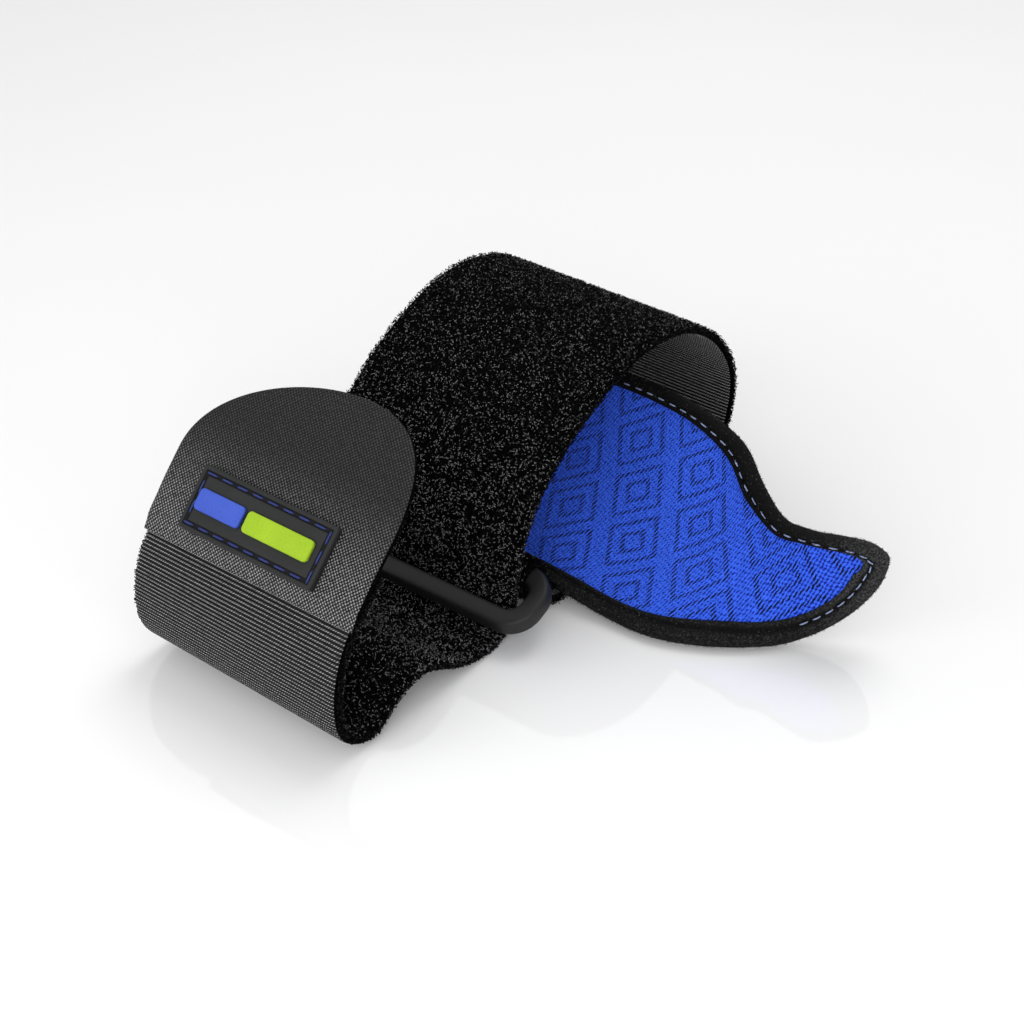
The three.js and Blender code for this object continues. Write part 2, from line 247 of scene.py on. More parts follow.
# Mesh helpers
def lattice(rows, columns, round_rows=False, round_columns=False):
    """Triangles of a grid of points, closed on itself where asked."""
    r = np.arange(rows if round_rows else rows - 1)[:, None]
    c = np.arange(columns if round_columns else columns - 1)
    r2 = (r + 1) % rows
    c2 = (c + 1) % columns
    corners = np.broadcast_arrays(r * columns + c, r * columns + c2, r2 * columns + c2, r2 * columns + c)
    quads = np.stack(corners, -1).reshape(-1, 4)
    return np.concatenate([quads[:, [0, 1, 2]], quads[:, [0, 2, 3]]])


def fan(loop, centre, flip=False):
    """Triangles from a loop of points to one in its middle."""
    after = np.roll(loop, -1)
    first, second = (after, loop) if flip else (loop, after)
    return np.stack([first, second, np.full(len(loop), centre)], -1)


def tube(rows, count):
    """Triangles of a tube of closed loops. Its two end points follow the last loop."""
    loop = np.arange(count)
    return np.concatenate([
        lattice(rows, count, round_columns=True),
        fan(loop, rows * count, flip=True),
        fan((rows - 1) * count + loop, rows * count + 1),
    ])


def copies(faces, number, size):
    """Triangles of a number of copies, each of that many points."""
    return (np.arange(number)[:, None, None] * size + faces).reshape(-1, 3)


def add(name, data):
    made = bpy.data.objects.new(name, data)
    bpy.context.scene.collection.objects.link(made)
    return made


def make(name, points, faces, materials, uv=None, kinds=None, tone=None):
    """Object from points in mm. kinds is each triangle's material, tone a number at each point."""
    flat = np.asarray(points, float).reshape(-1, 3)
    a, b, c = (flat[corner] for corner in faces.T)
    if (a * np.cross(b, c)).sum() < 0:
        faces = faces[:, ::-1]
    mesh = bpy.data.meshes.new(name)
    mesh.vertices.add(len(flat))
    mesh.vertices.foreach_set("co", place(flat).astype(np.float32).ravel())
    mesh.loops.add(faces.size)
    mesh.loops.foreach_set("vertex_index", np.ascontiguousarray(faces, np.int32).ravel())
    mesh.polygons.add(len(faces))
    mesh.polygons.foreach_set("loop_start", np.arange(0, faces.size, 3, dtype=np.int32))
    mesh.polygons.foreach_set("use_smooth", np.ones(len(faces), bool))
    for material in materials:
        mesh.materials.append(material)
    if kinds is not None:
        mesh.polygons.foreach_set("material_index", np.asarray(kinds, np.int32))
    if uv is not None:
        layer = mesh.uv_layers.new(name="cloth")
        layer.uv.foreach_set("vector", np.asarray(uv, np.float32)[faces].ravel())
    if tone is not None:
        mesh.attributes.new("tone", "FLOAT", "POINT").data.foreach_set("value", np.asarray(tone, np.float32))
    mesh.update(calc_edges=True)
    mesh.validate()
    return add(name, mesh)


def register(piece, slot, *nodes):
    """Parent a piece to the root body and hide the nodes that it stands for. slot is not used."""
    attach(piece, "root")
    if nodes:
        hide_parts(*nodes)
    return piece


def distances(line):
    """How far along a line each of its points is."""
    return np.concatenate([[0], np.cumsum(np.linalg.norm(np.diff(line, axis=0), axis=1))])


def unit(v):
    return v / np.maximum(np.linalg.norm(v, axis=-1, keepdims=True), 1e-9)


def fibres(roots, up, length, width, tilt, rng):
    """Short bent fibres, pointed at both ends. tilt is their least and most slope in degrees."""
    n = len(roots)
    side = unit(np.cross(up, rng.normal(size=(n, 3))))
    swing = np.cross(up, side)
    rise = np.radians(rng.uniform(*tilt, n))[:, None]
    span = (length * rng.uniform(*FIBRE.lengths, n))[:, None] / 2
    middle = roots + (side * np.cos(rise) + up * np.sin(rise)) * span
    swing = swing * rng.uniform(-FIBRE.swing, FIBRE.swing, (n, 1))
    tip = middle + unit(side * FIBRE.lean + swing + up * (np.sin(rise) - FIBRE.droop)) * span
    along = unit(tip - roots)
    across = unit(np.cross(along, up))
    other = np.cross(along, across)
    angles = np.radians([90, 210, 330])[:, None]
    ring = across[:, None] * np.cos(angles) + other[:, None] * np.sin(angles)
    thick = (width * rng.uniform(*FIBRE.widths, n))[:, None, None] / 2
    points = np.concatenate([roots[:, None], middle[:, None] + ring * thick, tip[:, None]], axis=1)
    one = np.array([(0, 2, 1), (0, 3, 2), (0, 1, 3), (4, 1, 2), (4, 2, 3), (4, 3, 1)])
    tone = np.repeat(rng.random(n), FIBRE.points)
    points[..., 2] = np.maximum(points[..., 2], FLOOR_GAP.fibre)
    return points, copies(one, n, FIBRE.points), tone


def stitches(centres, along, up, size):
    """Short threads that rise from the cloth and go back in: flat tubes, closed at both ends."""
    t = np.linspace(-1, 1, 9)
    turn = np.radians(np.arange(8) * 45)
    across = np.cross(up, along)
    radius = size.radius * np.sqrt(np.maximum(0.02, 1 - np.abs(t) ** 5))
    rise = size.lift * (1 - t ** 2) - THREAD.sink
    middle = centres[:, None] + along[:, None] * (t * size.length / 2)[:, None] + up[:, None] * rise[:, None]
    flat = (THREAD.flat * np.sin(turn))[:, None]
    ring = across[:, None, None] * np.cos(turn)[:, None] + up[:, None, None] * flat
    points = middle[:, :, None] + ring * radius[:, None, None]
    number = len(centres)
    whole = np.concatenate([points.reshape(number, -1, 3), middle[:, [0, -1]]], axis=1)
    return whole.reshape(-1, 3), copies(tube(len(t), len(turn)), number, whole.shape[1])


# Material helpers
class Look:
    """A node material under construction. Numbers set a socket, other values are linked to it."""

    def __init__(self, name, **sockets):
        self.material = bpy.data.materials.new(name)
        self.material.use_nodes = True
        self.tree = self.material.node_tree
        self.shader = self.tree.nodes["Principled BSDF"]
        for key, value in sockets.items():
            self.shader.inputs[key.replace("_", " ")].default_value = value

    def node(self, kind, output=0, links=None, **settings):
        made = self.tree.nodes.new(kind)
        for key, value in settings.items():
            setattr(made, key, value)
        for key, value in (links or {}).items():
            self.put(made.inputs[key], value)
        return made.outputs[output]

    def put(self, socket, value):
        if isinstance(value, bpy.types.NodeSocket):
            self.tree.links.new(value, socket)
        else:
            socket.default_value = value

    def math(self, operation, *values):
        return self.node("ShaderNodeMath", links=dict(enumerate(values)), operation=operation)

    def plus(self, value, share, other):
        """A share of a value, plus another value."""
        return self.math("MULTIPLY_ADD", value, share, other)

    def product(self, level, *others):
        for other in others:
            level = self.math("MULTIPLY", level, other)
        return level

    def spread(self, value, low, high, start=0.0, stop=1.0, **settings):
        """Low to high, as the value goes from start to stop."""
        links = {0: value, 1: start, 2: stop, 3: low, 4: high}
        return self.node("ShaderNodeMapRange", links=links, **settings)

    def split(self, vector):
        return self.node("ShaderNodeSeparateXYZ", links={0: vector}).node.outputs[:]

    def cloth(self):
        """Millimetres across and along, from the piece's own map."""
        return self.split(self.node("ShaderNodeUVMap", uv_map="cloth"))[:2]

    def place(self):
        """Place in the piece, in metres."""
        return self.node("ShaderNodeTexCoord", output="Object")

    def tone(self):
        """The number that make() puts at each point."""
        return self.node("ShaderNodeAttribute", output="Fac", attribute_name="tone")

    def plane(self, a, b):
        """Vector of two values."""
        return self.node("ShaderNodeCombineXYZ", links={0: a, 1: b})

    def noise(self, scale, detail=3.0, rough=0.55, at=None):
        """Noise over the piece's place, or over another vector."""
        links = {"Scale": scale, "Detail": detail, "Roughness": rough}
        links["Vector"] = self.place() if at is None else at
        return self.node("ShaderNodeTexNoise", output="Fac", links=links)

    def wave(self, value, period):
        """0 to 1, once in each period."""
        turn = self.math("MULTIPLY", value, 2 * math.pi / period)
        return self.plus(self.math("SINE", turn), 0.5, 0.5)

    def ramp(self, value, *stops):
        """Colour of a value, from stops of place and colour. A number is a grey."""
        made = self.node("ShaderNodeValToRGB", links={0: value}).node
        band = made.color_ramp
        while len(band.elements) < len(stops):
            band.elements.new(0.5)
        for element, (at, colour) in zip(band.elements, stops):
            element.position = at
            rgb = colour if isinstance(colour, tuple) else (colour, colour, colour * 1.01)
            element.color = (*rgb, 1)
        return made.outputs[0]

    def mix(self, share, a, b):
        """Colour a, or b where the share is 1."""
        return self.node("ShaderNodeMix", output=2, links={0: share, 6: a, 7: b}, data_type="RGBA")

    def finish(self, colour, height, depth, rough=None):
        """Colour, bump and, where given, roughness. depth is the bump's height in metres."""
        bump = self.node("ShaderNodeBump", links={"Height": height, "Distance": depth, "Strength": 1.0})
        self.put(self.shader.inputs["Base Color"], colour)
        self.put(self.shader.inputs["Normal"], bump)
        if rough is not None:
            self.put(self.shader.inputs["Roughness"], rough)
        return self.material


def pile_look():
    """Short fibres: many of them dark, a few lighter ones as a painted glint."""
    look = Look("pile_hair", Roughness=0.6, Specular_IOR_Level=0.03)
    drift = look.noise(180.0)
    # painted glint: a fine noise and the random tone make a few fibres light, as if they caught the lamps
    painted_glint = look.spread(look.noise(2000.0, 2.0), 0.0, 2.0)
    level = look.product(look.tone(), look.spread(drift, 0.85, 1.15), painted_glint)
    colour = look.ramp(level, (0.0, 0.0006), (0.3, 0.002), (0.6, 0.024), (1.0, 0.21))
    return look.finish(colour, drift, 0.0001)


def ground_look(name):
    """Cloth under the fibres."""
    look = Look(name, Roughness=0.9, Specular_IOR_Level=0.02)
    grain = look.noise(1100.0, 4.0, 0.7)
    colour = look.ramp(grain, (0.5, 0.0006), (0.65, 0.003), (0.8, 0.02))
    return look.finish(colour, grain, 0.0004)


def elastic_look():
    """Ribbed elastic: twisted threads that lie across, with dark grooves between them, and painted light
    inside the loop.
    """
    look = Look("elastic_rib", Roughness=0.6, Specular_IOR_Level=0.2)
    x, s = look.cloth()
    rib = look.wave(look.math("SUBTRACT", s, RIB.pitch / 4), RIB.pitch)
    slant = look.plus(x, 1.25, look.product(s, -1.47))
    uneven = look.noise(700.0, 2.0)
    twist = look.wave(look.plus(uneven, 0.9, slant), 0.9)
    stretched = look.plane(look.product(x, 1.1), look.product(s, 2.2))
    grain = look.spread(look.noise(1.0, 3.0, 0.7, stretched), 0.1, 1.7)
    # painted light: up to 1.4 times lighter on the inside of the loop, where it lies in shade
    painted_fill_inside = look.spread(s, 1.4, 0.97, 150.0, 310.0)
    level = look.product(look.spread(twist, 0.28, 1.12), grain, painted_fill_inside, look.math("POWER", rib, 1.6))
    colour = look.ramp(level, (0.03, 0.0015), (0.25, 0.014), (0.52, 0.088), (0.85, 0.5))
    return look.finish(colour, level, 0.0003)


def weave_look():
    """Plain weave: threads over and under by turns, with a painted highlight that makes it lighter towards
    the fold.
    """
    look = Look("nylon_weave", Roughness=0.55, Specular_IOR_Level=0.2)
    x, s = look.cloth()
    repeat = 2 * math.pi / 1.05
    uneven = look.noise(800.0, 2.0)
    warp = look.math("COSINE", look.plus(uneven, 2.4, look.product(x, repeat)))
    weft = look.math("COSINE", look.plus(uneven, -1.6, look.product(s, repeat)))
    height = look.plus(look.product(warp, weft), 0.5, 0.5)
    grain = look.noise(1600.0, 2.0, 0.7)
    level = look.product(height, look.spread(grain, 0.3, 1.7))
    # painted highlight: a lit copy of the weave near the sewn edge, a shaded copy further along
    painted_highlight = look.spread(s, 1.0, 0.0, 2.0, 34.0, interpolation_type="SMOOTHSTEP")
    dark = look.ramp(level, (0.15, 0.001), (0.5, 0.0045), (0.95, 0.045))
    light = look.ramp(level, (0.2, 0.0015), (0.5, 0.011), (0.95, 0.33))
    return look.finish(look.mix(painted_highlight, dark, light), height, 0.0002)


def hook_look():
    look = Look("hook_plastic", Roughness=0.4)
    grain = look.noise(700.0)
    colour = look.ramp(grain, (0.3, (0.012, 0.012, 0.013)), (0.7, (0.03, 0.03, 0.031)))
    return look.finish(colour, grain, 0.0001)


def rubber_look(name, dark, light, rough):
    """Moulded rubber with a fine grain and a faint drift in tone."""
    look = Look(name, Specular_IOR_Level=0.18)
    grain = look.noise(2200.0, 2.0)
    drift = look.noise(120.0, 2.0)
    level = look.plus(grain, 0.5, look.product(drift, 0.5))
    colour = look.ramp(level, (0.35, dark), (0.65, light))
    return look.finish(colour, grain, 0.00006, look.spread(drift, rough - 0.06, rough + 0.06))


def thread_look(name, dark, light):
    """Sewing thread: two plies that twist around each other."""
    look = Look(name, Roughness=0.5)
    x, y, z = look.split(look.place())
    slant = look.math("ADD", look.math("ADD", x, y), z)
    ply = look.wave(slant, 0.0005)
    grain = look.noise(1500.0)
    level = look.product(ply, look.spread(grain, 0.6, 1.3))
    colour = look.ramp(level, (0.1, dark), (0.7, light))
    return look.finish(colour, ply, 0.00015)


def tape_look():
    """Soft tape: a fine nap, lighter where tone is higher; the tone carries painted shade."""
    look = Look("tape_knit", Roughness=0.8, Specular_IOR_Level=0.12)
    grain = look.noise(1900.0, 4.0, 0.75)
    level = look.product(look.spread(grain, -0.4, 1.5), look.tone())
    colour = look.ramp(level, (0.05, 0.001), (0.3, 0.005), (0.85, 0.12))
    return look.finish(colour, grain, 0.00035)


# The knit's diamonds: one's middle and the steps of their lattice in mm, their outlines as shares of a step
DIAMOND = Sizes(middle=(61.9, 33.0), along=(16.0, 12.0), down=(6.0, -13.4), share=(0.68, 0.76), inner=0.44,
                line=0.096)


def knit_look():
    """Blue knit: a fine slanted grain, and nested diamonds drawn by dark dashes."""
    look = Look("blue_knit_diamonds", Roughness=0.75, Specular_IOR_Level=0.12,
                Sheen_Weight=0.25, Sheen_Roughness=0.45, Sheen_Tint=(0.1, 0.25, 1, 1))
    x, w = look.cloth()
    (ax, aw), (bx, bw) = DIAMOND.along, DIAMOND.down
    det = ax * bw - bx * aw
    from_x = look.math("SUBTRACT", x, DIAMOND.middle[0])
    from_w = look.math("SUBTRACT", w, DIAMOND.middle[1])
    shares = []
    for (kx, kw), share in zip(((bw / det, -bx / det), (-aw / det, ax / det)), DIAMOND.share):
        step = look.plus(from_x, kx, look.product(from_w, kw))
        wrapped = look.math("SUBTRACT", look.math("FRACT", look.math("ADD", step, 0.5)), 0.5)
        shares.append(look.product(look.math("ABSOLUTE", wrapped), 2 / share))
    ring = look.math("MAXIMUM", *shares)
    slant = look.plus(x, 0.94, look.product(w, -0.33))
    along = look.plus(x, 0.33, look.product(w, 0.94))
    uneven = look.noise(520.0, 2.0)
    stroke = look.wave(look.plus(uneven, 0.8, slant), 0.87)
    stitch = look.wave(look.plus(uneven, 2.0, along), 1.3)
    lines = [look.math("COMPARE", ring, at, DIAMOND.line) for at in (1.0, DIAMOND.inner)]
    drawn = look.product(look.math("MAXIMUM", *lines), look.spread(stroke, 0.0, 1.0, 0.55, 0.38))
    stretched = look.plane(look.product(slant, 1.7), look.product(along, 0.8))
    nap = look.spread(look.noise(1.0, 3.0, 0.75, stretched), -0.6, 2.85)
    grain = look.spread(look.noise(1500.0, 2.0, 0.7), 0.1, 1.9)
    # painted light: up to 1.62 times lighter on the left, where the strap shades it, and a little darker
    # towards the tip
    painted_light_by_x = look.spread(x, 1.62, 0.86, 45.0, 100.0)
    level = look.product(look.spread(stroke, 0.3, 1.36), look.spread(stitch, 0.4, 1.3), nap, grain, painted_light_by_x)
    cloth = look.ramp(
        level, (0.15, (0.0015, 0.007, 0.14)), (0.4, (0.009, 0.037, 0.44)), (0.78, (0.046, 0.15, 1.0)))
    colour = look.mix(drawn, cloth, (0.001, 0.002, 0.02, 1))
    height = look.math("SUBTRACT", level, look.product(drawn, 1.2))
    return look.finish(colour, height, 0.0002)


def ring_look():
    look = Look("ring_moulded", Roughness=0.5, Specular_IOR_Level=0.35)
    grain = look.noise(1800.0, 2.0)
    drift = look.noise(90.0)
    level = look.plus(grain, 0.4, look.product(drift, 0.6))
    colour = look.ramp(level, (0.3, 0.006), (0.7, 0.01))
    return look.finish(colour, grain, 0.00005, look.spread(drift, 0.45, 0.6))


PILE_LOOK = pile_look()
GROUND_LOOK = ground_look("pile_ground")
ELASTIC_LOOK = elastic_look()


# Strap: a band with ribs on one face, and fibres on the other
def strap_band():
    step = RIB.pitch / RIB.steps
    first = -math.floor(KEEPER_LENGTH / step)
    s = np.arange(first, math.floor(STRAP.end / step) + 1) * step
    half = STRAP.width / 2
    insets = np.array(BAND.insets)
    across = np.concatenate([insets - half, [0.0], (half - insets)[::-1]])
    rounded = np.maximum(0, np.abs(across) - half + BAND.round) / BAND.round
    edge = np.sqrt(np.maximum(0, 1 - rounded ** 2))
    rib = np.abs(np.sin(math.pi * s / RIB.pitch)) ** RIB.power
    rng = np.random.default_rng(SEED)
    rough = rng.uniform(-BAND.rough, BAND.rough, (len(s), len(across)))
    pile = strap_point(across, s[:, None], -(PILE.ground + rough) * edge)
    notched = np.abs(across) > half - BAND.notched
    wide = across * (1 - RIB.notch * (1 - rib[:, None]) * notched)
    inner = slice(-2, 0, -1)
    ribbed_off = (STRAP.thick / 2 - RIB.depth * (1 - rib))[:, None] * edge[inner]
    ribbed = strap_point(wide[:, inner], s[:, None], ribbed_off)
    pile[:, [0, -1], 0] = wide[:, [0, -1]]
    points = np.concatenate([pile, ribbed], axis=1)
    points[..., 2] = np.maximum(points[..., 2], FLOOR_GAP.band)
    count = points.shape[1]
    flat_x = np.concatenate([across, across[inner]])
    uv = np.stack(np.broadcast_arrays(flat_x + half, s[:, None]), -1).reshape(-1, 2)
    uv = np.concatenate([uv, [(half, s[0]), (half, s[-1])]])
    faces = tube(len(s), count)
    column = faces[:-2 * count] % count
    inside = np.abs(flat_x)[column].max(axis=1) < half - BAND.bare
    on_ribs = (column.max(axis=1) >= len(across)) & inside
    kinds = np.concatenate([on_ribs.astype(int), np.zeros(2 * count, int)])
    points = np.concatenate([points.reshape(-1, 3), points[[0, -1]].mean(axis=1)])
    return make("strap_band", points, faces, [GROUND_LOOK, ELASTIC_LOOK], uv, kinds)


def ring_room(points):
    """How much of its length a fibre keeps near the ring's bars."""
    gaps = [
        np.hypot(points[:, 1] - y, points[:, 2] - z) - RING.wire / 2
        for y, z in (RING.front, RING.rear)
    ]
    return np.clip((np.minimum(*gaps) - NEAR_RING.gap) / NEAR_RING.fade, NEAR_RING.least, 1)


def strap_pile():
    """Fibres on the pile face and both edges, a piece for each stretch, few where it lies on the floor."""
    half = STRAP.width / 2
    stretches = np.linspace(-KEEPER_LENGTH, STRAP.end, PILE.pieces + 1)
    pieces = []
    for k, (start, stop) in enumerate(zip(stretches[:-1], stretches[1:])):
        rng = np.random.default_rng(SEED + 1 + k)
        n = int((stop - start) * STRAP.width * PILE.per_mm2)
        m = int((stop - start) * FRINGE.per_mm)
        s = rng.uniform(start, stop, n)
        raised = (s < ON_FLOOR.start) | (s > ON_FLOOR.stop)
        s = s[raised | (rng.random(n) < ON_FLOOR.pile)]
        n = len(s)
        s = np.concatenate([s, rng.uniform(start, stop, 2 * m)])
        x = np.concatenate([rng.uniform(-half, half, n), np.repeat([-half, half], m)])
        off = np.concatenate([np.full(n, PILE.root - PILE.ground), rng.uniform(*FRINGE.off, 2 * m)])
        heading = strap_at(s)[2]
        up = np.stack([np.zeros_like(s), np.sin(heading), -np.cos(heading)], -1)
        up[:, 0] += np.maximum(0, np.abs(x) - half + FRINGE.near) * np.sign(x) * FRINGE.lean
        up[n:] *= FRINGE.up * np.sign(-off[n:])[:, None]
        up[n:, 0] = np.sign(x[n:])
        roots = strap_point(x, s, off)
        roots[n:, 0] -= np.sign(x[n:]) * FRINGE.root
        length = PILE.length * ring_room(roots)
        length[n:] *= FRINGE.length
        width = np.full(len(s), PILE.width)
        width[n:] *= FRINGE.width
        points, faces, tone = fibres(roots, unit(up), length, width, PILE.tilt, rng)
        # painted light: the pile's tone scaled by the table above
        painted_lit = np.interp(s, *PILE_PAINTED_LIGHT.T)
        painted_lit[n:] *= FRINGE.tone
        tone *= np.repeat(painted_lit, FIBRE.points)
        pile = make(f"strap_pile_{k + 1}", points, faces, [PILE_LOOK], tone=tone)
        pieces.append(register(pile, "pile_elastic"))
    return pieces


band = register(strap_band(), "pile_elastic", "strap")
piles = strap_pile()


# Plates that lie on the strap: closed loops of points, one for each step of a profile of inset and offset
def tab_loop(inset):
    """s and x of the tab's outline, moved inward by inset, and its middle."""
    straight = TAB.length - TAB.round
    half = TAB.width / 2
    turn = np.linspace(0, math.pi, 160)
    over = np.sin(turn)
    side = np.linspace(0, straight, 12)
    sewn = np.linspace(-half, half, 32)[1:-1]
    s = np.concatenate([side[:-1], straight + TAB.round * over, side[-2::-1], np.zeros(len(sewn))])
    right = np.full(len(side) - 1, half)
    x = np.concatenate([right, half * np.cos(turn) + TAB.skew * over ** 2, -right, sewn])
    loop = np.stack([s, x], -1)
    slope = np.roll(loop, -1, axis=0) - np.roll(loop, 1, axis=0)
    inward = unit(np.stack([-slope[:, 1], slope[:, 0]], -1))
    middle = np.array([TAB.length / 2, 0.0])
    inward *= np.sign(((middle - loop) * inward).sum(axis=1, keepdims=True))
    return loop + inward * inset, middle


def box_loop(length, width, corner, inset, n=9):
    """The same for a rounded box."""
    corner = max(0.05, corner - inset)
    turns = np.radians(np.concatenate([np.linspace(0, 90, n) + k * 90 for k in range(4)]))
    centre_s = np.repeat([1, -1, -1, 1], n) * (length / 2 - inset - corner)
    centre_x = np.repeat([1, 1, -1, -1], n) * (width / 2 - inset - corner)
    s = length / 2 + centre_s + corner * np.cos(turns)
    x = centre_x + corner * np.sin(turns)
    return np.stack([s, x], -1), np.array([length / 2, 0.0])


def smooth(t):
    """0 to 1, level at both ends."""
    t = np.clip(t, 0, 1)
    return t * t * (3 - 2 * t)


def tab_off(s, off):
    """Offset on the tab: thin and close to the elastic at its sewn edge, full and free of it further on."""
    base = TAB_REST.sewn + TAB_REST.lift * smooth((s - TAB_REST.start) / TAB_REST.over)
    thin = TAB_REST.thin
    return base + (off - TAB.low) * (thin + (1 - thin) * smooth(s / TAB_REST.full))


def plate(outline, profile, start, x, fills, rule=None):
    """Closed plate on the strap's ribbed side: points, triangles, and millimetres across and along."""
    bottom, middle = outline(profile[0][0])
    top, _ = outline(profile[-1][0])
    shares = np.linspace(0, 1, fills + 2)[1:-1]
    loops = [(middle + (bottom - middle) * share, profile[0][1]) for share in shares]
    loops += [(outline(inset)[0], off) for inset, off in profile]
    loops += [(middle + (top - middle) * share, profile[-1][1]) for share in shares[::-1]]
    loops += [(middle[None], profile[0][1]), (middle[None], profile[-1][1])]
    flat = np.concatenate([loop for loop, _ in loops])
    off = np.concatenate([np.full(len(loop), off) for loop, off in loops])
    if rule is not None:
        off = rule(flat[:, 0], off)
    points = strap_point(flat[:, 1] + x, start + flat[:, 0], off)
    return points, tube(len(loops) - 2, len(top)), np.stack([flat[:, 1] + MAP_SHIFT, flat[:, 0]], -1)


def plate_rows(faces, outline, first, last):
    """1 for the triangles of a plate from one of its loops to another, 0 for the others."""
    row = faces.min(axis=1) // len(outline(0.0)[0])
    return ((row >= first) & (row < last)).astype(int)


# Profiles: inset from the outline, offset from the strap's middle line
tab_profile = [(0.5, 1.6), (0.12, 1.75), (0.0, 2.1), (0.0, 2.6), (0.1, 3.0), (0.45, 3.2)]
points, faces, tab_uv = plate(tab_loop, tab_profile, TAB.start, 0.0, FILLS.tab, tab_off)
sides = plate_rows(faces, tab_loop, FILLS.tab, FILLS.tab + len(tab_profile) - 2)
tab = make("tab_cloth", points, faces, [weave_look(), ground_look("tab_side")], tab_uv, sides)
register(tab, "woven_nylon", "hook_tab")


def hooks():
    """Rows of small stems with a mushroom head on the tab's free underside."""
    rows = np.arange(HOOK.start, TAB.length, HOOK.pitch)
    columns = np.arange(-HOOK.half, HOOK.half, HOOK.pitch)
    s, x = (grid.ravel() for grid in np.meshgrid(rows, columns, indexing="ij"))
    over = np.maximum(0, (s - TAB.length + TAB.round) / TAB.round)
    room = TAB.width / 2 * np.sqrt(np.maximum(0, 1 - over ** 2)) - HOOK.margin
    kept = np.abs(x - TAB.skew * over ** 2) < room
    s, x = s[kept], x[kept]
    sides = HOOK.sides
    turn = np.arange(sides) * 2 * math.pi / sides
    profile = [(1.0, 0.15), (0.8, -0.45), (1.7, -0.6), (1.3, -0.8)]  # radius as a share, offset
    loops = []
    for size, off in profile:
        ring_x = x[:, None] + HOOK.radius * size * np.cos(turn)
        ring_s = s[:, None] + HOOK.radius * size * np.sin(turn)
        loops.append(strap_point(ring_x, TAB.start + ring_s, TAB.low + off))
    tips = strap_point(x, TAB.start + s, TAB.low - HOOK.height)
    block = np.concatenate([np.stack(loops, axis=1).reshape(len(s), -1, 3), tips[:, None]], axis=1)
    last = (len(profile) - 1) * sides
    one = np.concatenate([
        lattice(len(profile), sides, round_columns=True),
        fan(last + np.arange(sides), last + sides),
    ])
    return make("tab_hooks", block, copies(one, len(s), block.shape[1]), [hook_look()])


hook_field = register(hooks(), "woven_nylon")

# Label: a rim, a channel with stitches and a panel, and two raised bars
label_start = TAB.start + LABEL.start


def label_loop(inset):
    return box_loop(LABEL.height, LABEL.width, LABEL.corner, inset)


label_profile = [
    (0.0, 2.7), (0.0, 4.5), (0.12, 4.78), (0.35, 4.9), (0.85, 4.9), (1.1, 4.78), (1.2, 4.45), (2.3, 4.4),
    (2.42, 4.66), (2.7, 4.74),
]
CHANNEL_ROWS = (5, 8)
points, faces, _ = plate(label_loop, label_profile, label_start, LABEL.x, FILLS.label)
rubber = rubber_look("label_rubber_grain", (0.016, 0.017, 0.0165), (0.022, 0.023, 0.0225), 0.6)
channel = rubber_look("label_channel", (0.003, 0.003, 0.0035), (0.005, 0.005, 0.006), 0.7)
groove = plate_rows(faces, label_loop, *(FILLS.label + row for row in CHANNEL_ROWS))
label = make("label_plate", points, faces, [rubber, channel], kinds=groove)
register(label, "label_rubber", "label")

BAR_LOOKS = {
    "bar_blue": rubber_look("bar_blue_rubber", (0.035, 0.075, 0.42), (0.05, 0.1, 0.5), 0.5),
    "bar_lime": rubber_look("bar_lime_rubber", (0.26, 0.42, 0.012), (0.33, 0.5, 0.02), 0.5),
}
bar_profile = [(0.0, 4.6), (0.0, 5.45), (0.1, 5.66), (0.3, 5.78), (0.5, 5.8)]
BAR_CORNER = 1.2
for piece, node, slot, start, height, x, width in BARS:
    def bar_loop(inset):
        return box_loop(height, width, BAR_CORNER, inset)
    points, faces, _ = plate(bar_loop, bar_profile, label_start + start, LABEL.x + x, FILLS.bar)
    register(make(piece, points, faces, [BAR_LOOKS[slot]]), slot, node)


def label_stitches():
    """Threads in the label's channel, evenly around it."""
    loop, _ = label_loop(LABEL_SEAM.inset)
    closed = np.concatenate([loop, loop[:1]])
    run = distances(closed)
    count = round(run[-1] / LABEL_SEAM.pitch)
    at = (np.arange(count) + LABEL_SEAM.first) * run[-1] / count

    def spot(distance):
        distance = np.mod(distance, run[-1])
        s, x = (np.interp(distance, run, column) for column in closed.T)
        return strap_point(x + LABEL.x, label_start + s, LABEL_SEAM.off)

    centres = spot(at)
    along = unit(spot(at + 0.5) - spot(at - 0.5))
    heading = strap_at(label_start + LABEL_SEAM.facing)[2]
    up = np.tile([0, -np.sin(heading), np.cos(heading)], (count, 1))
    points, faces = stitches(centres, along, up, LABEL_SEAM)
    look = thread_look("label_thread", (0.006, 0.012, 0.07), (0.03, 0.055, 0.3))
    return make("label_stitches", points, faces, [look])


label_sewing = register(label_stitches(), "bar_blue")


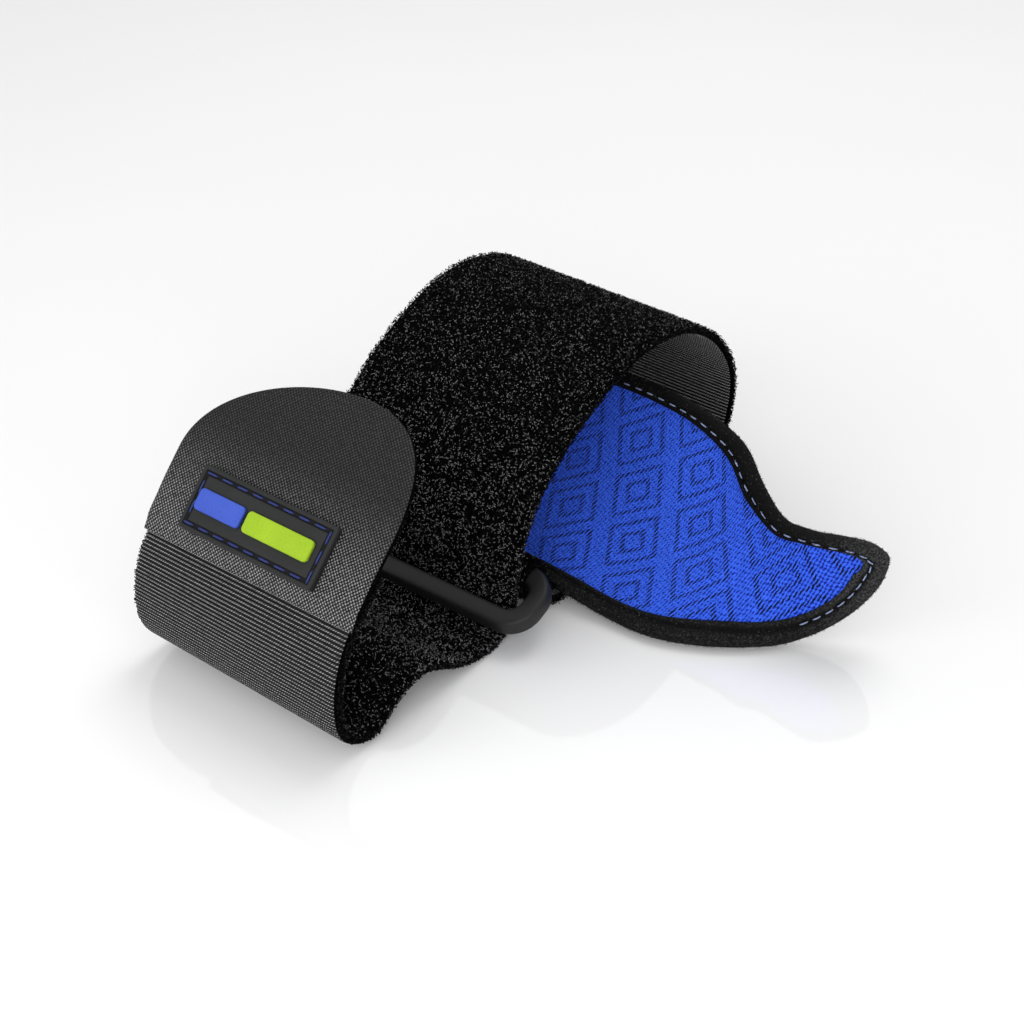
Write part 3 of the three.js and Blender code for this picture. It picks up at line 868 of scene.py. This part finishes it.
# Ring: a bar of rounded square section on a rounded rectangle
def ring_bar():
    front_y, front_z = RING.front
    rear_y, rear_z = RING.rear
    depth = math.hypot(rear_y - front_y, rear_z - front_z)
    tilt = math.atan2(rear_z - front_z, rear_y - front_y)
    half = STRAP.width / 2 + RING.clear + RING.wire / 2
    corner = RING.corner
    far = depth - corner
    path = []
    for side, middle_d, first in ((1, corner, -90), (1, far, 0), (-1, far, 90), (-1, corner, 180)):
        for turn in np.linspace(0, 90, 13):
            angle = math.radians(first + turn)
            middle_x = side * (half - corner)
            path.append((middle_x + corner * math.cos(angle), middle_d + corner * math.sin(angle), angle))
    x, d, angle = np.array(path).T
    around = np.radians(np.arange(24) * 15)
    power = 2 / RING.power
    out = RING.wire / 2 * np.sign(np.cos(around)) * np.abs(np.cos(around)) ** power
    up = RING.wire / 2 * np.sign(np.sin(around)) * np.abs(np.sin(around)) ** power
    px = x[:, None] + out * np.cos(angle)[:, None]
    pd = d[:, None] + out * np.sin(angle)[:, None]
    y = front_y + pd * math.cos(tilt) - up * math.sin(tilt)
    z = front_z + pd * math.sin(tilt) + up * math.cos(tilt)
    points = np.stack([px, y, z], -1)
    return make("ring_bar", points, lattice(len(x), len(around), True, True), [ring_look()])


register(ring_bar(), "ring_plastic", "ring")


# Pad: a soft shell with fibres outside, a knit lining and an edge tape
def pad_stations(step):
    """x of the pad's sections: even steps, and closer ones at its corners and its tip."""
    corner = PAD.left + PAD.corner * (1 - np.cos(np.linspace(0, math.pi / 2, 16)))
    plain = np.arange(PAD.left + PAD.corner + step, TIP.near, step)
    tip = TIP.near + (TIP.x - TIP.near) * np.sin(np.linspace(0, math.pi / 2, 48)[:-1] * 0.985)
    return np.concatenate([corner, plain, tip])


def pad_layer(name, low, high, crown, step, across, materials):
    """Closed layer between two offsets. crown raises the outer face between its edges."""
    x = pad_stations(step)
    near, far = pad_ends(x)
    t = np.linspace(0, 1, across)
    q = near[:, None] + (far - near)[:, None] * t
    xs = np.broadcast_to(x[:, None], q.shape)
    fade = np.clip((x - PAD.left) / FADE.left, 0, 1) * np.clip((TIP.x - x) / FADE.tip, 0, 1)
    swell = crown * np.sqrt(np.clip(4 * t * (1 - t), 0, 1)) * np.sqrt(fade)[:, None]
    outer = pad_off(xs, q, (high if crown > 0 else low) + swell)
    inner = pad_off(xs, q, low if crown > 0 else high)
    points = np.concatenate([outer, inner[:, ::-1]], axis=1)
    along = q * pad_row(xs)[3]
    uv = np.stack([np.concatenate([v, v[:, ::-1]], axis=1) for v in (xs, along)], -1)
    points = np.concatenate([points.reshape(-1, 3), points[[0, -1]].mean(axis=1)])
    uv = np.concatenate([uv.reshape(-1, 2), uv[[0, -1], 0]])
    return make(name, points, tube(len(x), 2 * across), materials, uv)


SHELL_CROWN = 0.5
LINING_CROWN = 0.35
shell = pad_layer("pad_foam", -PAD.half, 0.15, -SHELL_CROWN, 1.0, 60, [ground_look("pad_ground")])
register(shell, "pad_pile", "pad_shell")
lining = pad_layer("lining_knit", 0.45, PAD.half, LINING_CROWN, 0.8, 80, [knit_look()])
register(lining, "blue_knit", "pad_lining")


def pad_pile():
    """Fibres on the pad's outside, clear of its tape."""
    rng = np.random.default_rng(SEED + 20)
    n = PAD_PILE.tries
    x = rng.uniform(PAD.left + PAD_PILE.left, TIP.x - PAD_PILE.tip, n)
    near, far = pad_ends(x)
    length = pad_row(x)[3]
    margin = PAD_PILE.margin / length
    t = rng.random(n)
    free = far - near - 2 * margin
    q = near + margin + free * t
    kept = rng.random(n) < free * length / PAD_PILE.full
    x, q, t = x[kept], q[kept], t[kept]
    swell = SHELL_CROWN * np.sqrt(4 * t * (1 - t)) * np.sqrt(np.clip((TIP.x - x) / FADE.tip, 0, 1))
    normal = pad_frame(x, q)[2]
    roots = pad_point(x, q) - normal * (PAD.half + swell - PILE.root)[:, None]
    points, faces, tone = fibres(roots, -normal, PILE.length, PILE.width, PILE.tilt, rng)
    return make("pad_hairs", points, faces, [PILE_LOOK], tone=tone)


register(pad_pile(), "pad_pile")


# Edge tape: an evenly spaced path around the pad's edge, with a folded section on it
def edge_path(step):
    """x and q at even steps around the pad's edge, their distances, and the near side's length."""
    x = pad_stations(0.5)
    near, far = pad_ends(x)
    left = np.linspace(far[0], near[0], 60)[1:]
    line_x = np.concatenate([x, x[::-1], np.full(len(left), PAD.left)])
    closed = np.stack([line_x, np.concatenate([near, far[::-1], left])], -1)
    run = distances(pad_point(*closed.T))
    count = round(run[-1] / step)
    at = np.arange(count) * run[-1] / count
    return np.stack([np.interp(at, run, column) for column in closed.T], -1), at, run[len(x) - 1]


def edge_frame(path):
    """For each point of the edge: the way along it, and the step in x and q that goes 1 mm inward."""
    before = np.roll(path, 1, axis=0)
    after = np.roll(path, -1, axis=0)
    along = unit(pad_point(*after.T) - pad_point(*before.T))
    dx, dq, normal = pad_frame(*path.T)
    inward = unit(np.cross(normal, along))
    xx, xq, qq = (dx * dx).sum(1), (dx * dq).sum(1), (dq * dq).sum(1)
    ix, iq = (dx * inward).sum(1), (dq * inward).sum(1)
    det = xx * qq - xq ** 2
    return along, np.stack([(ix * qq - iq * xq) / det, (iq * xx - ix * xq) / det], -1)


TAPE_FACE = [  # inset from the pad's edge, offset from its middle surface, on the lined side
    (4.2, 1.42), (4.25, 1.7), (4.0, 2.0), (3.4, 2.14), (2.9, 1.98), (2.6, 1.9), (2.3, 1.98), (1.7, 2.2),
    (0.9, 2.2), (0.1, 1.95), (-0.55, 1.4), (-0.92, 0.7),
]
TAPE_BACK = [(-0.2, 1.2), (2.2, 1.38)]


def mirrored(rows):
    return [(inset, -off) for inset, off in rows[::-1]]


SECTION = np.array([
    *TAPE_FACE, (-1.0, 0.0), *mirrored(TAPE_FACE), *mirrored(TAPE_BACK), (-0.3, 0.0), *TAPE_BACK,
])
OUTSIDE = slice(3, 22)  # the section's rows that can be seen
SECTION_LEG = 4.2
LEG_NEAR = np.array([  # x, width of the tape's leg on the lined side
    (-38, 3.7), (45, 3.8), (60, 4.3), (75, 5.1), (90, 5.6), (100, 6.2), (106, 6.6), (111.5, 7.0),
])
LEG_FAR = np.array([
    (-38, 3.7), (50, 3.6), (62, 4.3), (75, 4.5), (86, 3.4), (94, 2.4), (101, 2.0), (107, 2.3), (110, 3.4),
    (111.5, 7.0),
])
# Tone of the tape along each side: darker than its own colour, with painted shade that makes the far side
# darkest, where the top lamp falls on it
TONE_AND_SHADE_NEAR = np.array([(60, 0.52), (95, 0.55), (108, 0.75)])  # x, tone
TONE_AND_SHADE_FAR = np.array([(84, 0.2), (108, 0.75)])
tape_path, tape_run, near_length = edge_path(TAPE.step)
tape_along, tape_step = edge_frame(tape_path)
on_near = tape_run < near_length


def even_out(values, reach):
    """Values around the edge, each the mean of those within reach steps."""
    return np.mean([np.roll(values, k, axis=0) for k in range(-reach, reach + 1)], axis=0)


def by_side(near, far):
    """Values around the edge from two tables of x and value."""
    near_value, far_value = (np.interp(tape_path[:, 0], *table.T) for table in (near, far))
    return np.where(on_near, near_value, far_value)


tape_leg = even_out(by_side(LEG_NEAR, LEG_FAR), TAPE.even_leg)
tape_inner = even_out(tape_path + tape_step * tape_leg[:, None], TAPE.even_inner)
tape_step = (tape_inner - tape_path) / tape_leg[:, None]


def tape_points(index, inset, off):
    """Points beside the edge. The leg on the lined side is as wide as its table says, the other as drawn."""
    inset = np.asarray(inset, float)
    inset = np.where((inset > 0) & (np.asarray(off) > 0), inset * tape_leg[index] / SECTION_LEG, inset)
    at = tape_path[index] + tape_step[index] * inset[..., None]
    return pad_off(at[..., 0], at[..., 1], off)


def edge_tape():
    shape = (len(tape_path), len(SECTION))
    index = np.broadcast_to(np.arange(shape[0])[:, None], shape)
    inset, off = (np.broadcast_to(column, shape) for column in SECTION.T)
    points = tape_points(index, inset, off)
    points[..., 2] = np.maximum(points[..., 2], FLOOR_GAP.tape)
    # Painted shade: the tone is darkened along the groove of the stitch line.
    from_seam = (SECTION[:, 0] - STITCH.inset) / TAPE.groove_width
    groove = 1 - TAPE.groove * np.exp(-from_seam ** 2)
    tone = (by_side(TONE_AND_SHADE_NEAR, TONE_AND_SHADE_FAR)[:, None] * groove).ravel()
    return make("edge_tape", points, lattice(*shape, True, True), [tape_look()], tone=tone)


tape = register(edge_tape(), "binding_tape", "binding")


def tape_stitches():
    """Threads along the tape on both faces, but not where the near side's are sunk in the roll."""
    total = tape_run[-1] + TAPE.step
    count = round(total / STITCH.pitch)
    at = (np.arange(count) + 0.5) * total / count
    nearest = np.minimum((at / TAPE.step).round().astype(int), len(tape_path) - 1)
    shown = (at > near_length) | (tape_path[nearest, 0] > STITCH.near_from)
    blocks = []
    for side, index in ((1, nearest[shown]), (-1, nearest)):
        centres = tape_points(index, STITCH.inset, side * STITCH.off)
        normal = pad_frame(*tape_path[index].T)[2] * side
        blocks.append(stitches(centres, tape_along[index], normal, STITCH))
    points = np.concatenate([p for p, _ in blocks])
    faces = np.concatenate([blocks[0][1], blocks[1][1] + len(blocks[0][0])])
    look = thread_look("tape_thread", (0.14, 0.2, 0.4), (0.5, 0.58, 0.9))
    return make("tape_stitches", points, faces, [look])


def tape_fuzz():
    """Short fibres on the tape's outside."""
    rng = np.random.default_rng(SEED + 30)
    n = FUZZ.count
    index = rng.integers(0, len(tape_path), n)
    section = SECTION[OUTSIDE]
    at = rng.uniform(0, len(section) - 1.001, n)
    low = at.astype(int)
    share = (at - low)[:, None]
    spot = section[low] * (1 - share) + section[low + 1] * share
    edge = section[low + 1] - section[low]
    out = unit(np.stack([edge[:, 1], -edge[:, 0]], -1))
    normal = pad_frame(*tape_path[index].T)[2]
    inward = unit(np.cross(normal, tape_along[index]))
    up = unit(inward * out[:, :1] + normal * out[:, 1:])
    away = np.sign((up * -inward).sum(1) * (1 - spot[:, 0]) + (up * normal).sum(1) * spot[:, 1])
    up = up * np.where(away == 0, 1, away)[:, None]
    roots = tape_points(index, *spot.T) - up * FUZZ.root
    points, faces, tone = fibres(roots, up, FUZZ.length, FUZZ.width, FUZZ.tilt, rng)
    return make("tape_fuzz", points, faces, [PILE_LOOK], tone=tone * FUZZ.tone)


tape_sewing = register(tape_stitches(), "binding_tape")
tape_hair = register(tape_fuzz(), "binding_tape")


# Floor, light and camera
def floor():
    mesh = bpy.data.meshes.new("floor")
    corners = [(-1, -1), (1, -1), (1, 1), (-1, 1)]
    mesh.from_pydata([(FLOOR_HALF_M * x, FLOOR_HALF_M * y, 0) for x, y in corners], [], [(0, 1, 2, 3)])
    look = Look("floor_white", Roughness=0.04, IOR=1.65)
    drift = look.noise(3.0)
    colour = look.ramp(drift, (0.3, (0.83,) * 3), (0.7, (0.85,) * 3))
    mesh.materials.append(look.finish(colour, drift, 0.00001))
    add("floor", mesh)


def area_light(name, place_m, target_m, size, watts):
    light = bpy.data.lights.new(name, "AREA")
    light.shape = "DISK"
    light.size = size
    light.energy = watts
    lamp = add(name, light)
    lamp.location = place_m
    x, y, z = np.subtract(target_m, place_m)
    lamp.rotation_euler = (math.atan2(math.hypot(x, y), -z), 0, math.atan2(y, x) - math.pi / 2)


LIGHTS = [  # name, place and target in metres, size, power in watts
    ("key", (-0.25, -0.55, 0.3), (-0.03, -0.05, 0.02), 0.4, 1.02),
    ("top", (-0.12, 0.42, 0.85), (0, 0, 0.0), 0.6, 2.85),
    ("fill", (0.32, -0.54, 0.3), (0.0, 0, 0.03), 0.5, 1.6),
    ("side", (0.45, -0.2, 0.16), (-0.04, 0.03, 0.04), 0.2, 0.3),
]
floor()
for row in LIGHTS:
    area_light(*row)

scene = bpy.context.scene
world = bpy.data.worlds.new("studio")
world.use_nodes = True
sky = world.node_tree.nodes["Background"].inputs
sky["Color"].default_value = (1, 1, 1, 1)
sky["Strength"].default_value = SKY
scene.world = world
scene.view_settings.view_transform = "Standard"

camera = bpy.data.cameras.new("camera")
camera.sensor_width = SENSOR_MM
camera.lens = CAMERA.focal_px / IMAGE_PX * SENSOR_MM
camera.clip_start = 0.01
viewer = add("camera", camera)
viewer.location = place(CAMERA.place)
viewer.rotation_euler = (math.radians(90 - CAMERA.elevation), 0, math.radians(CAMERA.azimuth))
scene.camera = viewer
